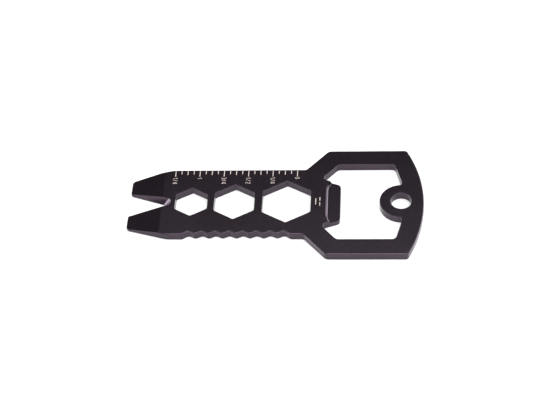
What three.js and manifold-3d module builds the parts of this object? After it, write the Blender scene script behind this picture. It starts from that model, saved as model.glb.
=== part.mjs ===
// Keychain bottle opener: one flat key-shaped steel plate with a bottle opener at one end, a forked nail
// puller at the other, three hexagonal wrench holes and an inch ruler between them.
// Millimetres. +X runs from the fork to the opener, +Z is up out of the marked face, and the origin is the
// middle of the underside.
import * as THREE from "three";
import { mergeVertices } from "three/addons/utils/BufferGeometryUtils.js";
import Module from "manifold-3d";

const wasm = await Module();
wasm.setup();

// ---- driving dimensions -------------------------------------------------------------------------------
const INCH = 25.4;
const LENGTH = 75.4; // fork tips to the middle of the curved tail
const THICKNESS = 2.2;
const EDGE_CHAMFER = 0.3; // outer edges, both faces
const HOLE_CHAMFER = 0.1; // opener mouth and wrench holes
const RING_CHAMFER = 0.15; // keyring hole
const CLEAR = 0.4; // how far a cutter runs past the face it cuts through

const TAIL_X = LENGTH / 2;
const FORK_X = -LENGTH / 2;
const HANDLE_HALF = 11.06; // half the handle's width
const HEAD_HALF = 17.7; // half the opener head's width
const SHOULDER = { fromX: 7.5, toX: 13.2, inner: 1.2, outer: 1.6 }; // slanted run between the two widths
const TAIL_RADIUS = 39.5;
const TAIL_STEPS = 24;
const TAIL_CORNER = 0.9;

const FORK = {
  sideX: -27.25, // where the handle's edge turns in towards the tips
  sideRadius: 8,
  tipHalf: 8.1, // outer half width at the tips
  tipRadius: 0.9,
  slotApexX: -27.15, // where the slot's two sides would meet at the underside
  slotTipHalf: 3.6, // slot's half width at the tips
  slotTipRadius: 0.7,
  slotRadius: 0.71, // end of the slot at the underside
  slotSplay: 1.8, // growth of that radius from the underside to the marked face
  slotLean: 2.9, // how far the slot's end leans back over the same height
};
const TIP_BEVEL = { fromX: -29.15, tipThickness: 0.8 };

const MOUTH = { half: 12.75, leftX: 15.73, leftRadius: 1.5, rightX: 30.5, rightRadius: 1.2 };
const MOUTH_NOTCH = { x: 11.48, y: 7.79, radius: 1.0 }; // relief beside the lip
const LIP = { tipX: 16.57, tipHalf: 5.96, tipRadius: 1.3 };
const LIP_RECESS = { floorX: 13.48, floorZ: 1.5, straightHalf: 4.2, endRadius: 4.2, sweep: 0.8 };
const RING = { x: 31.95, holeRadius: 2.65, bossRadius: 5.45, bossCorner: 0.8 };
const RING_SIDE = { x: 32.38, y: 6.0 }; // where the mouth's slanted end would reach the boss

const WRENCHES = [
  { name: "small", x: -21.64, acrossFlats: 8.32 },
  { name: "medium", x: -10.56, acrossFlats: 10.32 },
  { name: "large", x: 2.82, acrossFlats: 12.36 },
];
const WRENCH_CORNER = 0.45;

const SCALLOPS = { count: 8, firstX: -21.5, pitch: 3.45, valley: 0.95, crest: 0.3, runOut: 2.0, steps: 14 };

const RULER = { zeroX: 5.28, graduations: 20, division: INCH / 16, gapToEdge: 0.06 };
const MARK = { width: 0.22, depth: 0.12, quarter: 2.0, eighth: 1.42, sixteenth: 1.13 };
const GLYPH = { height: 1.05, stroke: 0.13, top: 8.5, advance: 0.8 }; // top: Y where a label starts
const LABELS = [
  { name: "zero", at: 0, text: "0" },
  { name: "quarter", at: 4, text: "1/4" },
  { name: "half", at: 8, text: "1/2" },
  { name: "three_quarter", at: 12, text: "3/4" },
  { name: "one", at: 16, text: "1" },
  { name: "one_and_quarter", at: 20, text: "1/4" },
];
const DASHES = [
  { x: 10.29, y: -0.1, length: 2.1, width: 0.26 },
  { x: 11.33, y: 0.75, length: 1.2, width: 0.26 },
  { x: 11.33, y: -0.95, length: 1.2, width: 0.26 },
];

// ---- solids -------------------------------------------------------------------------------------------
function solidOf(geometry) {
  const bare = geometry.index ? geometry.toNonIndexed() : geometry.clone();
  bare.deleteAttribute("normal");
  bare.deleteAttribute("uv");
  const merged = mergeVertices(bare, 1e-4);
  return new wasm.Manifold(
    new wasm.Mesh({
      numProp: 3,
      vertProperties: merged.attributes.position.array,
      triVerts: new Uint32Array(merged.index.array),
    }),
  );
}

function geometryOf(solid) {
  const mesh = solid.getMesh();
  const geometry = new THREE.BufferGeometry();
  geometry.setAttribute("position", new THREE.BufferAttribute(mesh.vertProperties, 3));
  geometry.setIndex(new THREE.BufferAttribute(mesh.triVerts, 1));
  const faceted = geometry.toNonIndexed();
  faceted.computeVertexNormals();
  return faceted;
}

// A closed outline through corners {x, y, r}, each corner rounded by an arc of radius r.
function roundedShape(corners) {
  const shape = new THREE.Shape();
  corners.forEach((corner, i) => {
    const here = new THREE.Vector2(corner.x, corner.y);
    const last = corners[(i + corners.length - 1) % corners.length];
    const next = corners[(i + 1) % corners.length];
    const back = new THREE.Vector2(last.x, last.y).sub(here).normalize();
    const ahead = new THREE.Vector2(next.x, next.y).sub(here).normalize();
    const start = i === 0 ? "moveTo" : "lineTo";
    if (!corner.r) {
      shape[start](here.x, here.y);
      return;
    }
    const half = Math.acos(back.dot(ahead)) / 2;
    const reach = corner.r / Math.tan(half);
    const from = here.clone().addScaledVector(back, reach);
    const to = here.clone().addScaledVector(ahead, reach);
    const centre = back.clone().add(ahead).normalize();
    centre.multiplyScalar(corner.r / Math.sin(half)).add(here);
    const turnsRight = back.cross(ahead) > 0;
    shape[start](from.x, from.y);
    shape.absarc(
      centre.x,
      centre.y,
      corner.r,
      Math.atan2(from.y - centre.y, from.x - centre.x),
      Math.atan2(to.y - centre.y, to.x - centre.x),
      turnsRight,
    );
  });
  shape.closePath();
  return shape;
}

// The corners above the centre line, followed by the same corners mirrored below it in reverse order.
function mirrored(upper) {
  return [...upper, ...upper.map((c) => ({ ...c, y: -c.y })).reverse()];
}

function prism(shape, fromZ, toZ, curveSegments = 4) {
  const depth = toZ - fromZ;
  const geometry = new THREE.ExtrudeGeometry(shape, { depth, bevelEnabled: false, curveSegments });
  return geometry.translate(0, 0, fromZ);
}

// A cutter through the whole plate that flares at 45 degrees by the chamfer at both faces.
function chamferedCutter(shape, chamfer, curveSegments) {
  const flare = chamfer + CLEAR;
  const geometry = new THREE.ExtrudeGeometry(shape, {
    depth: THICKNESS - 2 * chamfer,
    bevelEnabled: true,
    bevelSegments: 1,
    bevelThickness: flare,
    bevelSize: -flare,
    bevelOffset: flare,
    curveSegments,
  });
  return solidOf(geometry.translate(0, 0, chamfer));
}

// ---- outlines -----------------------------------------------------------------------------------------
function plateOutline() {
  const cornerAngle = Math.asin(HEAD_HALF / TAIL_RADIUS);
  const tail = [];
  for (let i = 0; i <= TAIL_STEPS / 2; i++) {
    const angle = (cornerAngle * i) / (TAIL_STEPS / 2);
    const y = TAIL_RADIUS * Math.sin(angle);
    tail.push({ x: TAIL_X - TAIL_RADIUS * (1 - Math.cos(angle)), y, r: 0 });
  }
  tail[tail.length - 1].r = TAIL_CORNER;
  const upper = [
    ...tail.slice(1),
    { x: SHOULDER.toX, y: HEAD_HALF, r: SHOULDER.outer },
    { x: SHOULDER.fromX, y: HANDLE_HALF, r: SHOULDER.inner },
    { x: FORK.sideX, y: HANDLE_HALF, r: FORK.sideRadius },
    { x: FORK_X, y: FORK.tipHalf, r: FORK.tipRadius },
    { x: FORK_X, y: FORK.slotTipHalf, r: FORK.slotTipRadius },
  ];
  const apex = { x: FORK.slotApexX, y: 0, r: FORK.slotRadius };
  const lower = upper.map((c) => ({ ...c, y: -c.y })).reverse();
  return roundedShape([tail[0], ...upper, apex, ...lower]);
}

// The opener mouth: a wide slot whose left end carries the hooked lip and whose right end goes round the
// boss of the keyring hole.
function mouthOutline() {
  const upperLeft = [
    { x: LIP.tipX, y: LIP.tipHalf, r: LIP.tipRadius },
    { x: MOUTH_NOTCH.x, y: MOUTH_NOTCH.y, r: MOUTH_NOTCH.radius },
    { x: MOUTH.leftX, y: MOUTH.half, r: MOUTH.leftRadius },
    { x: MOUTH.rightX, y: MOUTH.half, r: MOUTH.rightRadius },
    ...bossCorner(),
  ];
  return roundedShape(mirrored(upperLeft));
}

// The upper run round the boss, from the rounded inner corner to the boss's left side.
function bossCorner() {
  const steps = 12;
  const startAngle = Math.PI * 0.5;
  const run = [{ x: RING_SIDE.x, y: RING_SIDE.y - 0.35, r: RING.bossCorner }];
  for (let i = 1; i < steps; i++) {
    const angle = startAngle + (Math.PI * 0.5 * i) / steps;
    run.push({ x: RING.x + RING.bossRadius * Math.cos(angle), y: RING.bossRadius * Math.sin(angle), r: 0 });
  }
  return run;
}

function hexagonOutline(acrossFlats) {
  const reach = acrossFlats / Math.sqrt(3);
  const corners = [];
  for (let i = 0; i < 6; i++) {
    const angle = Math.PI / 2 + (i * Math.PI) / 3;
    corners.push({ x: reach * Math.cos(angle), y: reach * Math.sin(angle), r: WRENCH_CORNER });
  }
  return roundedShape(corners);
}

// ---- cutters ------------------------------------------------------------------------------------------
function wrenchCutter({ x, acrossFlats }) {
  return chamferedCutter(hexagonOutline(acrossFlats), HOLE_CHAMFER, 2).translate([x, 0, 0]);
}

function ringCutter() {
  const circle = new THREE.Shape();
  circle.absarc(RING.x, 0, RING.holeRadius, 0, 2 * Math.PI, false);
  return chamferedCutter(circle, RING_CHAMFER, 20);
}

// The step that thins the lip: a flat floor with a wall that rises at 45 degrees to the marked face.
function lipRecessCutter() {
  const { floorX, floorZ, straightHalf, endRadius, sweep } = LIP_RECESS;
  const beyondX = LIP.tipX + 1;
  const beyondY = straightHalf + endRadius * Math.sin(sweep);
  const shape = new THREE.Shape();
  shape.moveTo(beyondX, beyondY);
  shape.absarc(floorX + endRadius, straightHalf, endRadius, Math.PI - sweep, Math.PI, false);
  shape.absarc(floorX + endRadius, -straightHalf, endRadius, Math.PI, Math.PI + sweep, false);
  shape.lineTo(beyondX, -beyondY);
  shape.closePath();
  const rise = THICKNESS - floorZ + CLEAR;
  const geometry = new THREE.ExtrudeGeometry(shape, {
    depth: 0.5,
    bevelEnabled: true,
    bevelSegments: 1,
    bevelThickness: rise,
    bevelSize: rise,
    bevelOffset: 0,
    curveSegments: 4,
  });
  return solidOf(geometry.translate(0, 0, floorZ + rise));
}

// Thins the fork towards its tips from the marked face.
function tipBevelCutter() {
  const slope = (THICKNESS - TIP_BEVEL.tipThickness) / (TIP_BEVEL.fromX - FORK_X);
  const beyond = 2;
  const width = 3 * HANDLE_HALF;
  const side = new THREE.Shape();
  side.moveTo(TIP_BEVEL.fromX + beyond, THICKNESS + slope * beyond);
  side.lineTo(FORK_X - beyond, TIP_BEVEL.tipThickness - slope * beyond);
  side.lineTo(FORK_X - beyond, THICKNESS + 3 * beyond);
  side.lineTo(TIP_BEVEL.fromX + beyond, THICKNESS + 3 * beyond);
  side.closePath();
  const geometry = new THREE.ExtrudeGeometry(side, { depth: width, bevelEnabled: false });
  geometry.rotateX(Math.PI / 2);
  geometry.translate(0, width / 2, 0);
  return solidOf(geometry);
}

// The nail slot above its lower rim. Its end leans back and grows rounder towards the marked face, so each
// level of the cutter is the lower outline scaled about the point where its sides meet.
function slotCutter() {
  const reach = FORK.slotApexX - FORK_X + 3;
  const slope = FORK.slotTipHalf / (FORK.slotApexX - FORK_X);
  const outline = roundedShape([
    { x: 0, y: 0, r: FORK.slotRadius },
    { x: -reach, y: -reach * slope, r: 0 },
    { x: -reach, y: reach * slope, r: 0 },
  ].reverse());
  const height = THICKNESS - EDGE_CHAMFER + CLEAR;
  const share = height / (THICKNESS - EDGE_CHAMFER);
  const geometry = prism(outline, 0, height, 6);
  const position = geometry.attributes.position;
  for (let i = 0; i < position.count; i++) {
    const level = (position.getZ(i) / height) * share;
    const scale = 1 + (FORK.slotSplay - 1) * level;
    position.setX(i, position.getX(i) * scale + FORK.slotLean * level);
    position.setY(i, position.getY(i) * scale);
  }
  return solidOf(geometry.translate(FORK.slotApexX, 0, EDGE_CHAMFER));
}

// Depth of the finger scallops below the handle's straight edge, as a wave between valleys and crests that
// runs out to the straight edge on either side.
function scallopDepth(x) {
  const { count, firstX, pitch, valley, crest, runOut } = SCALLOPS;
  const lastX = firstX + (count - 1) * pitch;
  if (x < firstX || x > lastX) {
    const away = Math.min(1, (x < firstX ? firstX - x : x - lastX) / runOut);
    return (valley * (1 + Math.cos(Math.PI * away))) / 2;
  }
  const wave = (1 + Math.cos((2 * Math.PI * (x - firstX)) / pitch)) / 2;
  return crest + (valley - crest) * wave;
}

function scallopCutter() {
  const { count, firstX, pitch, runOut, steps } = SCALLOPS;
  const startX = firstX - runOut;
  const endX = firstX + (count - 1) * pitch + runOut;
  const samples = Math.round(((endX - startX) / pitch) * steps);
  const shape = new THREE.Shape();
  shape.moveTo(startX, -HANDLE_HALF - 1);
  shape.lineTo(endX, -HANDLE_HALF - 1);
  for (let i = samples; i >= 0; i--) {
    const x = startX + ((endX - startX) * i) / samples;
    shape.lineTo(x, -HANDLE_HALF + scallopDepth(x) - (i === 0 || i === samples ? 0.01 : 0));
  }
  shape.closePath();
  return solidOf(prism(shape, -CLEAR, THICKNESS + CLEAR));
}

// ---- marks --------------------------------------------------------------------------------------------
function barShape(x, y, halfX, halfY) {
  const corners = [
    { x: x + halfX, y: y + halfY },
    { x: x - halfX, y: y + halfY },
    { x: x - halfX, y: y - halfY },
    { x: x + halfX, y: y - halfY },
  ];
  return roundedShape(corners.map((c) => ({ ...c, r: 0.3 * Math.min(halfX, halfY) })));
}

function inlay(shape) {
  return solidOf(prism(shape, THICKNESS - MARK.depth, THICKNESS, 2));
}

function graduation(i) {
  let length = MARK.sixteenth;
  if (i % 2 === 0) length = MARK.eighth;
  if (i % 4 === 0) length = MARK.quarter;
  const edge = HANDLE_HALF - EDGE_CHAMFER - RULER.gapToEdge;
  const x = RULER.zeroX - i * RULER.division;
  return inlay(barShape(x, edge - length / 2, MARK.width / 2, length / 2));
}

// Points beside a pen path at half the stroke's width, to its left for side 1 and its right for side -1.
function besidePath(path, side, closed) {
  const headings = path.slice(1).map((point, i) => point.clone().sub(path[i]).normalize());
  const final = headings.length - 1;
  return path.slice(0, closed ? -1 : path.length).map((point, i) => {
    const arriving = headings[i > 0 ? i - 1 : closed ? final : 0];
    const leaving = headings[Math.min(i, final)];
    const along = arriving.clone().add(leaving).normalize();
    const away = (side * GLYPH.stroke) / 2 / Math.max(0.6, along.dot(leaving));
    return new THREE.Vector2(point.x - along.y * away, point.y + along.x * away);
  });
}

// A pen path as a band of the stroke's width. A clockwise path that ends where it starts becomes a ring.
function strokeSolid(path) {
  const closed = path[0].distanceTo(path[path.length - 1]) < 1e-6;
  const left = besidePath(path, 1, closed);
  const right = besidePath(path, -1, closed);
  if (!closed) return inlay(new THREE.Shape([...left, ...right.reverse()]));
  const inside = solidOf(prism(new THREE.Shape(right), THICKNESS - MARK.depth - CLEAR, THICKNESS + CLEAR));
  return inlay(new THREE.Shape(left)).subtract(inside);
}

// Pen paths of the characters, in an upright box one unit high.
const PEN = {
  0: [[
    [0.25, 0], [0.06, 0.2], [0, 0.5], [0.06, 0.8], [0.25, 1], [0.44, 0.8], [0.5, 0.5], [0.44, 0.2], [0.25, 0],
  ]],
  1: [[[0.04, 0.76], [0.3, 1], [0.3, 0]]],
  2: [[[0, 0.8], [0.12, 0.97], [0.38, 0.97], [0.48, 0.78], [0.42, 0.55], [0.03, 0.03], [0.5, 0.03]]],
  3: [[
    [0.02, 0.88], [0.22, 1], [0.44, 0.88], [0.44, 0.64], [0.2, 0.53], [0.46, 0.4], [0.46, 0.12], [0.22, 0],
    [0, 0.12],
  ]],
  4: [[[0.38, 0], [0.38, 1]], [[0.34, 0.98], [0, 0.3], [0.54, 0.3]]],
  "/": [[[0, -0.02], [0.36, 1.02]]],
};

// A character drawn so that it reads with its top towards +X, starting at distance `start` down the label.
function glyphSolid(character, centreX, start) {
  const place = ([u, v]) =>
    new THREE.Vector2(centreX + (v - 0.5) * GLYPH.height, GLYPH.top - start - u * GLYPH.height);
  const bands = PEN[character].map((path) => strokeSolid(path.map(place)));
  return bands.reduce((whole, band) => whole.add(band));
}

function labelGlyphs({ name, at, text }) {
  const x = RULER.zeroX - at * RULER.division;
  const kinds = ["numeral", "bar", "lower"];
  return [...text].map((character, i) => ({
    name: `label_${name}_${kinds[i]}`,
    solid: glyphSolid(character, x, 0.12 + i * GLYPH.advance),
  }));
}

function markSolids() {
  const marks = [];
  for (let i = 0; i <= RULER.graduations; i++) {
    marks.push({ name: `graduation_${String(i).padStart(2, "0")}`, solid: graduation(i) });
  }
  LABELS.forEach((label) => marks.push(...labelGlyphs(label)));
  DASHES.forEach(({ x, y, length, width }, i) => {
    marks.push({ name: `dash_mark_${i + 1}`, solid: inlay(barShape(x, y, width / 2, length / 2)) });
  });
  return marks;
}

// ---- the plate ----------------------------------------------------------------------------------------
function plateSolid(marks) {
  const blank = new THREE.ExtrudeGeometry(plateOutline(), {
    depth: THICKNESS - 2 * EDGE_CHAMFER,
    bevelEnabled: true,
    bevelSegments: 1,
    bevelThickness: EDGE_CHAMFER,
    bevelSize: EDGE_CHAMFER,
    bevelOffset: -EDGE_CHAMFER,
    curveSegments: 4,
  });
  let plate = solidOf(blank.translate(0, 0, EDGE_CHAMFER));
  const cutters = [
    tipBevelCutter(),
    slotCutter(),
    scallopCutter(),
    chamferedCutter(mouthOutline(), HOLE_CHAMFER, 4),
    lipRecessCutter(),
    ringCutter(),
    ...WRENCHES.map(wrenchCutter),
    ...marks.map((mark) => mark.solid),
  ];
  cutters.forEach((cutter) => {
    plate = plate.subtract(cutter);
  });
  return plate;
}

const blackSteel = new THREE.MeshStandardMaterial({ color: 0x302931, roughness: 0.42, metalness: 0.6 });
const paleMark = new THREE.MeshStandardMaterial({ color: 0xe6d7d2, roughness: 0.6, metalness: 0.1 });

const part = new THREE.Group();

function addPiece(name, solid, material) {
  const mesh = new THREE.Mesh(geometryOf(solid), material);
  mesh.name = name;
  part.add(mesh);
}

const marks = markSolids();
addPiece("tool_plate", plateSolid(marks), blackSteel);
marks.forEach(({ name, solid }) => addPiece(name, solid, paleMark));

export default part;
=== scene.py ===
"""Keychain bottle opener: the finished look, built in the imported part's frame.

Lengths below are millimetres in the row frame (+X from the fork to the opener, +Z out of the marked face)
and are scaled to metres when a mesh is made.
"""

import math

import bmesh
import bpy
from mathutils import Matrix, Vector


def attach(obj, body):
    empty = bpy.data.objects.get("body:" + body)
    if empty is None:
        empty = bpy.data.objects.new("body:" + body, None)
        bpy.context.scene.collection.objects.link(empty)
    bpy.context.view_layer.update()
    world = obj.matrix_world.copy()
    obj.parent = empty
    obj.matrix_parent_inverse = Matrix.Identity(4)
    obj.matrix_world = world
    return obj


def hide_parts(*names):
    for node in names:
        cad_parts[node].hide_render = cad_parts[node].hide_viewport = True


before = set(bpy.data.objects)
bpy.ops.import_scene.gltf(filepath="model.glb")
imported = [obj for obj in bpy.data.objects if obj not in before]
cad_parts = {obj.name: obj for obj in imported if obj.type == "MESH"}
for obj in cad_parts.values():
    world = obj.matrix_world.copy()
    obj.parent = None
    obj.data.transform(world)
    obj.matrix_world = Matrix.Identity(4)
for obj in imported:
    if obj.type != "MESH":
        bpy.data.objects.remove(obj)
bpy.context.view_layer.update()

# ---- sizes ------------------------------------------------------------------------------------------------
MM = 0.001
LENGTH = 75.4
THICK = 2.2
TOP_ROUND = 0.26  # radius of the plate's upper outer edge
LOW_ROUND = 0.24  # radius of its lower one
HOLE_EDGE = 0.06  # easing of the mouth and the wrench holes
RING_EDGE = 0.12
SCALLOP_EDGE = 0.2
CLEAR = 0.5  # how far a cutter runs past the faces it cuts through

HANDLE = 11.06  # half the handle's width
HEAD = 17.7  # half the opener head's width
HEAD_SHOULDER = (13.2, 1.6)  # where the head's straight side starts, and that corner's radius
HANDLE_SHOULDER = (7.5, 1.2)  # where the handle's straight side ends, and that corner's radius
TAIL_X = LENGTH / 2
TAIL_RADIUS = 39.5
TAIL_CORNER = 0.9

FORK_X = -LENGTH / 2
FORK_TURN = (-27.25, 8.0)  # where the handle's side turns in towards the tips, and that corner's radius
TIP = (8.1, 0.9)  # a tip's outer half width, and that corner's radius
BEVEL_X = -29.15  # where the fork starts to thin
TIP_THICK = 0.8
SLOT_X = -27.15  # where the slot's sides would meet at its lower rim
SLOT_Z = 0.3  # height of that rim
SLOT_TIP = 3.6  # the slot's half width at the tips
SLOT_TIP_RADIUS = 0.7
SLOT_RADIUS = 0.71
SLOT_SPLAY = 1.8  # growth of that radius from the rim to the marked face
SLOT_LEAN = 2.9  # how far the slot's end leans back over the same height

MOUTH = 12.75  # half the mouth's width
MOUTH_LEFT = (15.73, 1.5)  # X and radius of its left corners
MOUTH_RIGHT = (30.5, 1.2)
MOUTH_NOTCH = (11.48, 7.79, 1.0)  # relief beside the lip
LIP_TIP = (16.57, 5.96, 1.3)
RECESS_X = 13.48  # foot of the wall that steps down to the lip
RECESS_Z = 1.5  # thickness of the lip
RECESS_STRAIGHT = 4.2  # half the length of that wall's straight run
RECESS_RADIUS = 4.2  # curve at each end of it
RECESS_SWEEP = 0.8  # radians

RING_X = 31.95
RING_HOLE = 2.65
RING_BOSS = 5.45
BOSS_CORNER = (32.38, 5.65, 0.8)

WRENCHES = ((-21.64, 8.32), (-10.56, 10.32), (2.82, 12.36))  # X, size across flats
WRENCH_CORNER = 0.45

SCALLOPS = 8
SCALLOP_X = -21.5  # middle of the first one
SCALLOP_PITCH = 3.45
SCALLOP_VALLEY = 0.95
SCALLOP_CREST = 0.3
SCALLOP_RUN_OUT = 2.0

DIVISION = 25.4 / 16  # the ruler's sixteenth of an inch
RULER_X = 5.28
RULER_TOP = 10.7
MARK_LENGTHS = (2.0, 1.13, 1.42, 1.13)  # quarter, sixteenth, eighth, sixteenth
MARK_WIDTH = 0.184
INK = 0.012  # how far the marks stand above the plate
INK_SLOPE = 0.01
LABELS = (
    ("zero", 0, "0"),
    ("quarter", 4, "1/4"),
    ("half", 8, "1/2"),
    ("three_quarter", 12, "3/4"),
    ("one", 16, "1"),
    ("one_and_quarter", 20, "1/4"),
)
GLYPH_HEIGHT = 1.15
GLYPH_STROKE = 0.1
GLYPH_TOP = 8.38
GLYPH_ADVANCE = 0.8
DASHES = ((10.29, -0.1, 2.1), (11.33, 0.75, 1.2), (11.33, -0.95, 1.2))  # X, Y, length
DASH_WIDTH = 0.18

CAMERA_AIM = (-0.255, 0.265)  # the point on the floor it looks at
CAMERA_DISTANCE = 395.27
CAMERA_AZIMUTH = 6.573  # degrees from straight in front, towards +X
CAMERA_ELEVATION = 47.785
CAMERA_ROLL = -5.082


# ---- outlines ---------------------------------------------------------------------------------------------
def rounded(corners, step=5.0):
    """Points along a closed outline through (x, y, r) corners, each rounded by an arc of radius r."""
    points = []
    for i, (x, y, r) in enumerate(corners):
        here = Vector((x, y))
        if not r:
            points.append(here)
            continue
        back = (Vector(corners[i - 1][:2]) - here).normalized()
        ahead = (Vector(corners[(i + 1) % len(corners)][:2]) - here).normalized()
        half = math.acos(max(-1.0, min(1.0, back.dot(ahead)))) / 2
        start = here + back * (r / math.tan(half))
        centre = here + (back + ahead).normalized() * (r / math.sin(half))
        turn = math.pi - 2 * half
        if back.x * ahead.y - back.y * ahead.x > 0:
            turn = -turn
        count = max(2, math.ceil(abs(math.degrees(turn)) / step))
        arm = start - centre
        for k in range(count + 1):
            angle = turn * k / count
            points.append(centre + Matrix.Rotation(angle, 2) @ arm)
    return points


def mirrored(upper):
    """Corners above the centre line, then the same ones below it in reverse."""
    return upper + [(x, -y, r) for x, y, r in reversed(upper)]


def circle(x, y, radius, count=96):
    turns = [2 * math.pi * k / count for k in range(count)]
    return [Vector((x + radius * math.cos(a), y + radius * math.sin(a))) for a in turns]


def signed_area(points):
    return 0.5 * sum(
        a.x * b.y - a.y * b.x for a, b in zip(points, points[1:] + points[:1])
    )


def inset(points, distance):
    """The outline moved inwards by distance, or outwards when it is negative."""
    moved = []
    for i, here in enumerate(points):
        last = (here - points[i - 1]).normalized()
        ahead = (points[(i + 1) % len(points)] - here).normalized()
        n1 = Vector((-last.y, last.x))
        n2 = Vector((-ahead.y, ahead.x))
        middle = (n1 + n2).normalized()
        moved.append(here + middle * (distance / max(0.3, middle.dot(n1))))
    return moved


# ---- solids -----------------------------------------------------------------------------------------------
def body(name, loops):
    """A closed mesh skinned through loops of 3-D points, all with the same number of points."""
    bm = bmesh.new()
    rings = [[bm.verts.new(p) for p in loop] for loop in loops]
    count = len(rings[0])
    for low, high in zip(rings, rings[1:]):
        for k in range(count):
            m = (k + 1) % count
            bm.faces.new((low[k], low[m], high[m], high[k]))
    bm.faces.new(list(reversed(rings[0])))
    bm.faces.new(rings[-1])
    bmesh.ops.triangulate(bm, faces=[f for f in bm.faces if len(f.verts) > 4])
    bmesh.ops.recalc_face_normals(bm, faces=bm.faces)
    mesh = bpy.data.meshes.new(name)
    bm.to_mesh(mesh)
    bm.free()
    obj = bpy.data.objects.new(name, mesh)
    bpy.context.scene.collection.objects.link(obj)
    return obj


def levels(name, points, profile):
    """A solid whose outline is inset by profile's second number at each height, its first."""
    if signed_area(points) < 0:
        points = points[::-1]
    loops = []
    for z, distance in profile:
        ring = inset(points, distance) if distance else points
        loops.append([(p.x, p.y, z) for p in ring])
    return body(name, loops)


def cut(target, cutter, operation="DIFFERENCE"):
    modifier = target.modifiers.new("cut", "BOOLEAN")
    modifier.operation = operation
    modifier.solver = "MANIFOLD"
    modifier.object = cutter
    bpy.context.view_layer.update()
    graph = bpy.context.evaluated_depsgraph_get()
    mesh = bpy.data.meshes.new_from_object(target.evaluated_get(graph))
    target.modifiers.clear()
    old = target.data
    target.data = mesh
    bpy.data.meshes.remove(old)
    bpy.data.objects.remove(cutter)


def hole(points, edge, name="hole"):
    """A cutter through the plate with edges eased by a small radius at both faces."""
    ease = [(edge * (1 - math.cos(a)), edge * (1 - math.sin(a))) for a in (0.4, 0.8, 1.2)]
    bottom = [(-CLEAR, -edge), (0.0, -edge * 0.96)] + [(z, -out) for z, out in ease] + [(edge, 0)]
    top = [(THICK - z, out) for z, out in reversed(bottom)]
    return levels(name, points, bottom + top)


# ---- the plate --------------------------------------------------------------------------------------------
def plate_outline():
    corner = math.asin(HEAD / TAIL_RADIUS)
    steps = 16
    tail = []
    for k in range(1, steps + 1):
        angle = corner * k / steps
        x = TAIL_X - TAIL_RADIUS * (1 - math.cos(angle))
        tail.append((x, TAIL_RADIUS * math.sin(angle), TAIL_CORNER if k == steps else 0))
    upper = tail + [
        (HEAD_SHOULDER[0], HEAD, HEAD_SHOULDER[1]),
        (HANDLE_SHOULDER[0], HANDLE, HANDLE_SHOULDER[1]),
        (FORK_TURN[0], HANDLE, FORK_TURN[1]),
        (FORK_X, *TIP),
        (FORK_X, SLOT_TIP, SLOT_TIP_RADIUS),
    ]
    lower = [(x, -y, r) for x, y, r in reversed(upper)]
    return rounded([(TAIL_X, 0, 0)] + upper + [(SLOT_X, 0, SLOT_RADIUS)] + lower, 3.0)


def mouth_outline():
    steps = 24
    boss = [BOSS_CORNER]
    for k in range(1, steps):
        angle = math.pi / 2 * (1 + k / steps)
        boss.append((RING_X + RING_BOSS * math.cos(angle), RING_BOSS * math.sin(angle), 0))
    upper = [
        LIP_TIP,
        MOUTH_NOTCH,
        (MOUTH_LEFT[0], MOUTH, MOUTH_LEFT[1]),
        (MOUTH_RIGHT[0], MOUTH, MOUTH_RIGHT[1]),
    ]
    return rounded(mirrored(upper + boss))


def hexagon(x, across):
    reach = across / math.sqrt(3)
    corners = []
    for k in range(6):
        angle = math.pi / 2 + k * math.pi / 3
        corners.append((x + reach * math.cos(angle), reach * math.sin(angle), WRENCH_CORNER))
    return rounded(corners, 8.0)


def tip_bevel():
    """A wedge that thins the fork towards its tips, running past the plate on every other side."""
    slope = (THICK - TIP_THICK) / (BEVEL_X - FORK_X)
    past = 2
    side = [
        (BEVEL_X + past, THICK + past * slope),
        (FORK_X - past, TIP_THICK - past * slope),
        (FORK_X - past, THICK + 2 * past),
        (BEVEL_X + past, THICK + 2 * past),
    ]
    return body("tip_bevel", [[(x, y, z) for x, z in side] for y in (-16.0, 16.0)])


def slot_cutter():
    """The nail slot above its lower rim: its outline grows and moves back towards the marked face."""
    past_tips = 3
    reach = SLOT_X - FORK_X + past_tips
    slope = SLOT_TIP / (SLOT_X - FORK_X)
    outline = rounded(
        [(-reach, reach * slope, 0), (-reach, -reach * slope, 0), (0, 0, SLOT_RADIUS)], 4.0
    )
    loops = []
    for level in (0.0, 0.35, 0.7, 1.0, 1.25):
        scale = 1 + (SLOT_SPLAY - 1) * level
        z = SLOT_Z + (THICK - SLOT_Z) * level
        x = SLOT_X + SLOT_LEAN * level
        loops.append([(x + p.x * scale, p.y * scale, z) for p in outline])
    return body("slot", loops)


SCALLOP_END = SCALLOP_X + (SCALLOPS - 1) * SCALLOP_PITCH


def scallop_depth(x):
    """Depth below the handle's straight side: a wave that runs out to nothing at either end."""
    if SCALLOP_X <= x <= SCALLOP_END:
        wave = (1 + math.cos(2 * math.pi * (x - SCALLOP_X) / SCALLOP_PITCH)) / 2
        return SCALLOP_CREST + (SCALLOP_VALLEY - SCALLOP_CREST) * wave
    away = min(1.0, max(SCALLOP_X - x, x - SCALLOP_END) / SCALLOP_RUN_OUT)
    return SCALLOP_VALLEY * (1 + math.cos(math.pi * away)) / 2


def scallop_cutter():
    start = SCALLOP_X - SCALLOP_RUN_OUT
    end = SCALLOP_END + SCALLOP_RUN_OUT
    count = 220
    points = [Vector((start, -HANDLE - 1)), Vector((end, -HANDLE - 1))]
    for k in range(count, -1, -1):
        x = start + (end - start) * k / count
        drop = 0.01 if k in (0, count) else 0
        points.append(Vector((x, -HANDLE + scallop_depth(x) - drop)))
    return hole(points, SCALLOP_EDGE, "scallops")


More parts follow.
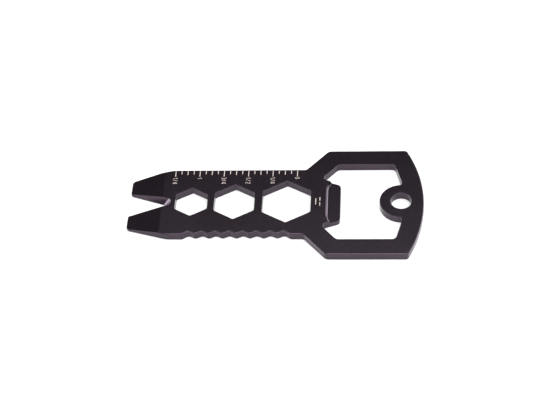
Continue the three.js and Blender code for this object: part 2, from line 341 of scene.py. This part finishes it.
def lip_recess():
    """The step that thins the lip: a flat floor, a small cove and a wall that slants up from it."""
    steps = 12
    upper = []
    for k in range(steps, -1, -1):
        angle = RECESS_SWEEP * k / steps
        x = RECESS_X + RECESS_RADIUS * (1 - math.cos(angle))
        upper.append(Vector((x, RECESS_STRAIGHT + RECESS_RADIUS * math.sin(angle))))
    beyond_lip = Vector((19.0, upper[0].y))
    points = [beyond_lip] + upper
    points += [Vector((p.x, -p.y)) for p in reversed(points)]
    rise = THICK - RECESS_Z
    cove = [(RECESS_Z, 0), (RECESS_Z + 0.05, -0.16), (RECESS_Z + 0.16, -0.28)]
    profile = cove + [(THICK, 0.06 - rise), (THICK + 0.4, -rise - 0.34)]
    return levels("lip_recess", points, profile)


def edge_round(radius):
    """Height and inset along a rounded edge, from the flat face to the wall, with a slight crease at each."""
    first, step = 0.3, 0.0971  # radians; one straight facet stands for the arc's first and last stretch
    turns = [first + step * k for k in range(11)]
    arc = [(radius * (1 - math.cos(a)), radius * (1 - math.sin(a))) for a in turns]
    return [(0, 0.8 * radius)] + arc + [(0.8 * radius, 0)]


def build_plate():
    """The whole plate, cut from one blank with rounded outer edges."""
    low = edge_round(LOW_ROUND)
    profile = low + [(THICK - z, out) for z, out in reversed(edge_round(TOP_ROUND))]
    plate = levels("tool_plate_finished", plate_outline(), profile)
    cut(plate, tip_bevel())
    cut(plate, slot_cutter())
    cut(plate, scallop_cutter())
    cut(plate, hole(mouth_outline(), HOLE_EDGE))
    cut(plate, lip_recess())
    cut(plate, hole(circle(RING_X, 0, RING_HOLE), RING_EDGE))
    for x, across in WRENCHES:
        cut(plate, hole(hexagon(x, across), HOLE_EDGE))
    return plate


# ---- marks ------------------------------------------------------------------------------------------------
def bar(name, x, y, width, length):
    half_x, half_y = width / 2, length / 2
    r = 0.3 * min(half_x, half_y)
    corners = [
        (x + half_x, y + half_y, r),
        (x - half_x, y + half_y, r),
        (x - half_x, y - half_y, r),
        (x + half_x, y - half_y, r),
    ]
    return levels(name, rounded(corners, 20.0), [(THICK, 0), (THICK + INK, INK_SLOPE)])


# Pen paths of the characters, in an upright box one unit high.
PEN = {
    "0": [[(0.25, 0), (0.06, 0.2), (0, 0.5), (0.06, 0.8), (0.25, 1), (0.44, 0.8), (0.5, 0.5),
           (0.44, 0.2), (0.25, 0)]],
    "1": [[(0.04, 0.76), (0.3, 1), (0.3, 0)]],
    "2": [[(0, 0.8), (0.12, 0.97), (0.38, 0.97), (0.48, 0.78), (0.42, 0.55), (0.03, 0.03),
           (0.5, 0.03)]],
    "3": [[(0.02, 0.88), (0.22, 1), (0.44, 0.88), (0.44, 0.64), (0.2, 0.53), (0.46, 0.4),
           (0.46, 0.12), (0.22, 0), (0, 0.12)]],
    "4": [[(0.38, 0), (0.38, 1)], [(0.34, 0.98), (0, 0.3), (0.54, 0.3)]],
    "/": [[(0, -0.02), (0.36, 1.02)]],
}


def beside(path, side, closed):
    """Points beside a pen path at half a stroke's width, to its left for side 1 and its right for -1."""
    headings = [(b - a).normalized() for a, b in zip(path, path[1:])]
    final = len(headings) - 1
    points = []
    for i, here in enumerate(path[:-1] if closed else path):
        arriving = headings[i - 1] if i else headings[final if closed else 0]
        leaving = headings[min(i, final)]
        along = (arriving + leaving).normalized()
        mitre_limit = 0.6
        away = side * GLYPH_STROKE / 2 / max(mitre_limit, along.dot(leaving))
        points.append(here + away * Vector((-along.y, along.x)))
    return points


def band(path):
    """A pen path as a band of the stroke's width, or a ring where a clockwise path closes."""
    closed = (path[0] - path[-1]).length < 1e-6
    left = beside(path, 1, closed)
    right = beside(path, -1, closed)
    outline = left if closed else left + right[::-1]
    solid = levels("band", outline, [(THICK, 0), (THICK + INK, 0)])
    if closed:
        cut(solid, levels("inside", right, [(THICK - 0.1, 0), (THICK + 0.1, 0)]))
    return solid


def glyph(name, character, centre_x, start):
    bands = []
    for path in PEN[character]:
        points = []
        for u, v in path:
            x = centre_x + (v - 0.5) * GLYPH_HEIGHT
            points.append(Vector((x, GLYPH_TOP - start - u * GLYPH_HEIGHT)))
        bands.append(band(points))
    for extra in bands[1:]:
        cut(bands[0], extra, "UNION")
    bands[0].name = name
    return bands[0]


def build_marks():
    """Every mark as (object, the CAD node it stands for)."""
    made = []
    for k in range(21):
        length = MARK_LENGTHS[k % 4]
        node = f"graduation_{k:02d}"
        x = RULER_X - k * DIVISION
        made.append((bar(node + "_ink", x, RULER_TOP - length / 2, MARK_WIDTH, length), node))
    for label, at, text in LABELS:
        for i, character in enumerate(text):
            node = f"label_{label}_{('numeral', 'bar', 'lower')[i]}"
            x = RULER_X - at * DIVISION
            made.append((glyph(node + "_ink", character, x, i * GLYPH_ADVANCE), node))
    for k, (x, y, length) in enumerate(DASHES, 1):
        node = f"dash_mark_{k}"
        made.append((bar(node + "_ink", x, y, DASH_WIDTH, length), node))
    return made


def to_metres(obj):
    obj.data.transform(Matrix.Scale(MM, 4))
    obj.data.update()


def shade(obj, angle):
    mesh = obj.data
    mesh.shade_smooth()
    mesh.set_sharp_from_angle(angle=math.radians(angle))
    modifier = obj.modifiers.new("even_normals", "WEIGHTED_NORMAL")
    modifier.keep_sharp = True
    modifier.weight = 90


# ---- materials --------------------------------------------------------------------------------------------
class Nodes:
    """Small helper for building one material's node tree."""

    def __init__(self, name):
        self.material = bpy.data.materials.new(name)
        self.material.use_nodes = True
        self.tree = self.material.node_tree
        self.tree.nodes.clear()
        self.out = self.add("ShaderNodeOutputMaterial")

    def add(self, kind, **sockets):
        node = self.tree.nodes.new(kind)
        for key, value in sockets.items():
            self.put(node, key, value)
        return node

    def put(self, node, key, value):
        numbered = key[0] == "i" and key[1:].isdigit()
        socket = node.inputs[int(key[1:]) if numbered else key.replace("_", " ")]
        if isinstance(value, bpy.types.NodeSocket):
            self.tree.links.new(value, socket)
        else:
            socket.default_value = value

    def noise(self, vector, scale, detail=3.0, roughness=0.55):
        node = self.add("ShaderNodeTexNoise", Vector=vector, Scale=scale, Detail=detail, Roughness=roughness)
        return node.outputs["Fac"]

    def ramp(self, value, low, high, to_low=0.0, to_high=1.0):
        node = self.add("ShaderNodeMapRange", i0=value, i1=low, i2=high, i3=to_low, i4=to_high)
        return node.outputs["Result"]

    def blend(self, factor, a, b):
        node = self.tree.nodes.new("ShaderNodeMix")
        node.data_type = "RGBA"
        self.put(node, "i0", factor)
        self.put(node, "i6", a)
        self.put(node, "i7", b)
        return node.outputs[2]


def coated_steel():
    n = Nodes("coated_steel_satin_black")
    place = n.add("ShaderNodeTexCoord").outputs["Object"]
    cloud = n.noise(place, 90.0, 3.0)
    mottle = n.noise(place, 1400.0, 4.0)
    grain = n.noise(place, 9000.0, 2.0)
    base = n.blend(n.ramp(cloud, 0.35, 0.65), (0.054, 0.042, 0.0552, 1), (0.063, 0.0492, 0.0642, 1))
    tone = n.blend(n.ramp(mottle, 0.3, 0.75, 0.0, 0.3), base, (0.072, 0.0575, 0.073, 1))
    rough = n.ramp(mottle, 0.25, 0.75, 0.20, 0.25)
    bump = n.add("ShaderNodeBump", Strength=0.015, Distance=0.00002, Height=grain)
    shader = n.add(
        "ShaderNodeBsdfPrincipled",
        Base_Color=tone,
        Metallic=1.0,
        Roughness=rough,
        Normal=bump.outputs["Normal"],
    )
    n.put(n.out, "Surface", shader.outputs["BSDF"])
    return n.material


def pale_mark():
    n = Nodes("pale_mark_ink")
    place = n.add("ShaderNodeTexCoord").outputs["Object"]
    speck = n.noise(place, 6000.0, 3.0)
    tone = n.blend(n.ramp(speck, 0.3, 0.7), (0.44, 0.37, 0.34, 1), (0.57, 0.49, 0.45, 1))
    bump = n.add("ShaderNodeBump", Strength=0.15, Distance=0.00001, Height=speck)
    shader = n.add(
        "ShaderNodeBsdfPrincipled",
        Base_Color=tone,
        Roughness=n.ramp(speck, 0.3, 0.7, 0.5, 0.65),
        Normal=bump.outputs["Normal"],
    )
    n.put(n.out, "Surface", shader.outputs["BSDF"])
    return n.material


def floor_white():
    n = Nodes("studio_floor_white")
    shader = n.add(
        "ShaderNodeBsdfPrincipled",
        Base_Color=(0.76, 0.76, 0.76, 1),
        Roughness=0.7,
        Emission_Color=(1, 1, 1, 1),
        Emission_Strength=0.15,
    )
    n.put(n.out, "Surface", shader.outputs["BSDF"])
    return n.material


def paint(obj, material):
    obj.data.materials.clear()
    obj.data.materials.append(material)


# ---- the object -------------------------------------------------------------------------------------------
steel = coated_steel()
ink = pale_mark()

plate = build_plate()
to_metres(plate)
shade(plate, 9)
paint(plate, steel)
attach(plate, "root")
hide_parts("tool_plate")

for mark, node in build_marks():
    to_metres(mark)
    paint(mark, ink)
    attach(mark, "root")
    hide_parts(node)

for node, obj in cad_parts.items():
    paint(obj, steel if node == "tool_plate" else ink)

# ---- studio -----------------------------------------------------------------------------------------------
bpy.ops.mesh.primitive_plane_add(size=4.0, location=(0, 0, 0))
floor = bpy.context.object
floor.name = "studio_floor"
paint(floor, floor_white())


def lit(name, position, target, width, height, radiance):
    """A soft rectangular lamp whose face shows this radiance."""
    data = bpy.data.lights.new(name, "AREA")
    data.shape = "RECTANGLE"
    data.size = width
    data.size_y = height
    data.energy = radiance * math.pi * width * height
    lamp = bpy.data.objects.new(name, data)
    lamp.location = position
    aim = Vector(target) - Vector(position)
    lamp.rotation_euler = aim.to_track_quat("-Z", "Y").to_euler()
    bpy.context.scene.collection.objects.link(lamp)


lit("key_over_camera", (0.12, -0.85, 0.95), (0, 0, 0), 0.9, 0.7, 4.4)
lit("overhead", (0.37, -0.02, 1.1), (0.37, -0.02, 0), 1.5, 1.55, 3.2)
lit("right_back", (1.0, 0.95, 0.25), (0, 0, 0.0), 1.2, 0.50, 9.0)
lit("left_low", (-1.2, 0.0, 0.25), (0, 0, 0.0), 1.2, 0.50, 8.0)
lit("left_front", (-0.95, -0.8, 0.2), (0, 0, 0.0), 0.8, 0.4, 1.7)
lit("left_back_high", (-0.68, 0.98, 0.93), (0, 0, 0), 0.35, 0.5, 0.08)

world = bpy.data.worlds.new("studio_world")
world.use_nodes = True
sky = world.node_tree.nodes["Background"]
sky.inputs["Color"].default_value = (1.0, 1.0, 1.0, 1)
sky.inputs["Strength"].default_value = 0.13
scene = bpy.context.scene
scene.world = world
scene.view_settings.view_transform = "Standard"
scene.view_settings.look = "None"

# ---- camera -----------------------------------------------------------------------------------------------
lens = bpy.data.cameras.new("camera")
lens.sensor_width = 36.0
lens.lens = 101.0
lens.clip_start = 0.01
lens.clip_end = 20.0
lens.dof.use_dof = False
lens.shift_y = 0.00045
camera = bpy.data.objects.new("camera", lens)
turned = (
    Matrix.Rotation(math.radians(CAMERA_AZIMUTH), 4, "Z")
    @ Matrix.Rotation(math.radians(90 - CAMERA_ELEVATION), 4, "X")
    @ Matrix.Rotation(math.radians(CAMERA_ROLL), 4, "Z")
)
aim = Vector((*CAMERA_AIM, 0)) * MM
backed_off = Matrix.Translation((0, 0, CAMERA_DISTANCE * MM))
camera.matrix_world = Matrix.Translation(aim) @ turned @ backed_off
scene.collection.objects.link(camera)
bpy.context.scene.camera = camera
